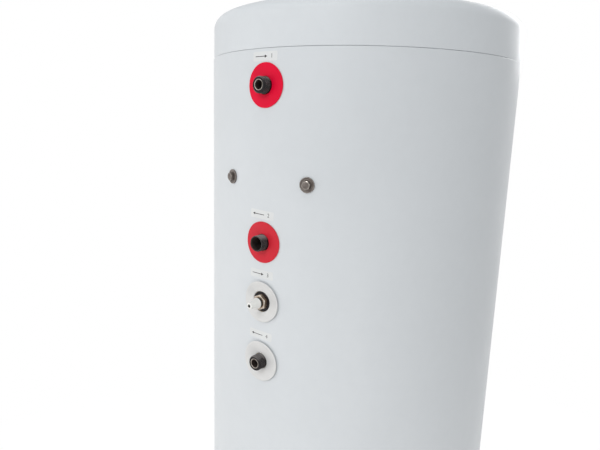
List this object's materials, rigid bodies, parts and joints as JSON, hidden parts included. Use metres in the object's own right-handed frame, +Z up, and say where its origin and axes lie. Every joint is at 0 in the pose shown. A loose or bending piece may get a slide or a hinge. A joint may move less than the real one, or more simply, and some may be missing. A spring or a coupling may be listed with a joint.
{
  "type": "electric water heater",
  "caption": "Tall round floor-standing hot water cylinder with a column of threaded pipe connections on one side and an electric heating element under a cover behind",
  "frame": {"origin": "on the floor, in the middle of the object's footprint, on the vessel's axis", "axes": "+Z up; the column of pipe connections faces -Y and the service cover faces +Y"},
  "size_m": [0.586, 0.656, 1.37],
  "materials": {
    "jacket_paint": "smooth off-white coil coating",
    "lid_plastic": "satin white moulding",
    "white_plastic": "satin white moulding",
    "red_plastic": "satin red moulding",
    "blue_plastic": "satin blue moulding",
    "black_plastic": "black moulding",
    "grey_plastic": "grey moulding",
    "dial_card": "printed dial plate",
    "red_lamp": "clear red plastic",
    "black_rubber": "black rubber",
    "dark_steel": "dark bare steel with cut threads",
    "plain_steel": "bare steel",
    "zinc_steel": "zinc plated, weathered",
    "stainless_steel": "pickled stainless steel",
    "enamel_steel": "blue glass enamel on steel",
    "brass_metal": "turned brass",
    "magnesium": "dull cast magnesium",
    "lens_glass": "clear lens",
    "foam": "rigid polyurethane foam"
  },
  "bodies": {
    "tank": {"outer_jacket": "jacket_paint", "top_lid": "lid_plastic", "base_pan": "black_plastic", "foam_jacket": "foam", "lid_foam": "foam", "vessel_shell": "enamel_steel", "top_head": "enamel_steel", "bottom_head": "enamel_steel", "support_ring": "plain_steel", "hot_water_stub": "dark_steel", "coil_inlet_stub": "dark_steel", "recirculation_stub": "dark_steel", "coil_outlet_stub": "dark_steel", "cold_water_stub": "dark_steel", "hot_water_rosette": "red_plastic", "coil_inlet_rosette": "red_plastic", "sensor_rosette": "white_plastic", "recirculation_rosette": "white_plastic", "coil_outlet_rosette": "blue_plastic", "cold_water_rosette": "blue_plastic", "heat_exchanger_coil": "enamel_steel", "hot_water_riser": "stainless_steel", "cold_water_bend": "stainless_steel", "sensor_socket": "dark_steel", "sensor_pocket": "brass_metal", "sensor_nut": "brass_metal", "sensor_seal": "black_rubber", "sensor_sleeve": "white_plastic", "bracket_washer_1": "zinc_steel", "bracket_washer_2": "zinc_steel", "bracket_bolt_1": "zinc_steel", "bracket_bolt_2": "zinc_steel", "service_neck": "plain_steel", "flange_gasket": "black_rubber", "service_plate": "stainless_steel", "heating_element_1": "stainless_steel", "heating_element_2": "stainless_steel", "heating_element_3": "stainless_steel", "anode_rod": "magnesium", "anode_nut": "brass_metal", "bulb_pocket": "stainless_steel", "service_cover": "lid_plastic", "thermostat_body": "black_plastic", "thermometer_case": "black_plastic", "thermometer_dial": "dial_card", "thermometer_lens": "lens_glass", "indicator_lamp": "red_lamp", "cable_gland": "black_plastic", "gland_nut": "black_plastic"},
    "thermostat_control": {"thermostat_shaft": "plain_steel", "thermostat_knob": "grey_plastic"},
    "thermometer_pointer": {"thermometer_needle": "red_lamp"},
    "foot_1": {"foot_pad_1": "black_plastic"},
    "stud_1": {"foot_stud_1": "zinc_steel"},
    "foot_2": {"foot_pad_2": "black_plastic"},
    "stud_2": {"foot_stud_2": "zinc_steel"},
    "foot_3": {"foot_pad_3": "black_plastic"},
    "stud_3": {"foot_stud_3": "zinc_steel"}
  },
  "joints": [
    {"name": "thermostat_turn", "type": "hinge", "parent": "tank", "child": "thermostat_control", "pos_m": [-0.058, 0.318, 0.46], "axis": [0, -1, 0], "range_deg": [0, 270]},
    {"name": "thermometer_reading", "type": "hinge", "parent": "tank", "child": "thermometer_pointer", "pos_m": [0.058, 0.318, 0.46], "axis": [0, -1, 0], "range_deg": [-120, 120]},
    {"name": "foot_reach_1", "type": "slide", "parent": "tank", "child": "foot_1", "axis": [0, 0, -1], "range_m": [0, 0.02]},
    {"name": "stud_turn_1", "type": "hinge", "parent": "foot_1", "child": "stud_1", "pos_m": [0.16974, -0.098, 0.03], "axis": [0, 0, -1], "range_deg": [0, 4115]},
    {"name": "foot_reach_2", "type": "slide", "parent": "tank", "child": "foot_2", "axis": [0, 0, -1], "range_m": [0, 0.02]},
    {"name": "stud_turn_2", "type": "hinge", "parent": "foot_2", "child": "stud_2", "pos_m": [0, 0.196, 0.03], "axis": [0, 0, -1], "range_deg": [0, 4115]},
    {"name": "foot_reach_3", "type": "slide", "parent": "tank", "child": "foot_3", "axis": [0, 0, -1], "range_m": [0, 0.02]},
    {"name": "stud_turn_3", "type": "hinge", "parent": "foot_3", "child": "stud_3", "pos_m": [-0.16974, -0.098, 0.03], "axis": [0, 0, -1], "range_deg": [0, 4115]}
  ],
  "couplings": [
    {"joint": "stud_turn_1", "follows": "foot_reach_1", "rad_per_m": 3590.4},
    {"joint": "stud_turn_2", "follows": "foot_reach_2", "rad_per_m": 3590.4},
    {"joint": "stud_turn_3", "follows": "foot_reach_3", "rad_per_m": 3590.4}
  ]
}
